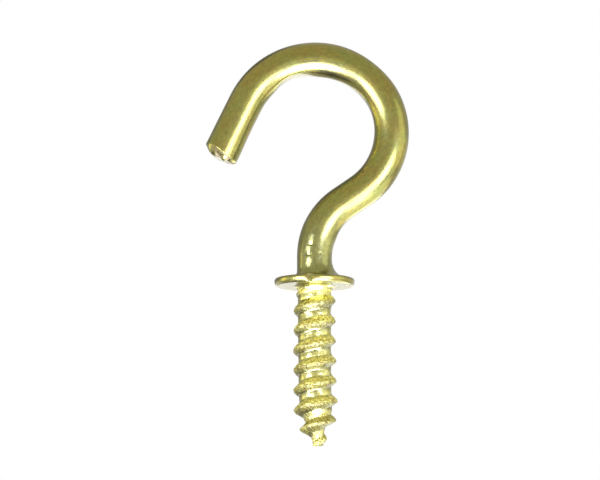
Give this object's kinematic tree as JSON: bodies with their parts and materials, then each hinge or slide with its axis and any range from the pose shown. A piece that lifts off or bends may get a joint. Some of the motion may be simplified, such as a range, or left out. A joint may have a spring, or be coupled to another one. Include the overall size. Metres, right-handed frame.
{
  "type": "cup hook",
  "caption": "Open bow of round wire over a thin round collar, on a coarse wood-screw shank with a tapered point, for hanging cups or keys.",
  "frame": {"origin": "middle of the collar's underside, on the axis of the screw", "axes": "+Z along the screw's axis from the point towards the bow, +X towards the back of the bow, the open end of the bow towards -X"},
  "size_m": [0.0175, 0.0068, 0.0352],
  "materials": {
    "brass_plate": "bright brass plate over steel wire, smooth on the bow and rough on the rolled thread"
  },
  "bodies": {
    "root": {"cup_hook": "brass_plate"}
  },
  "joints": []
}
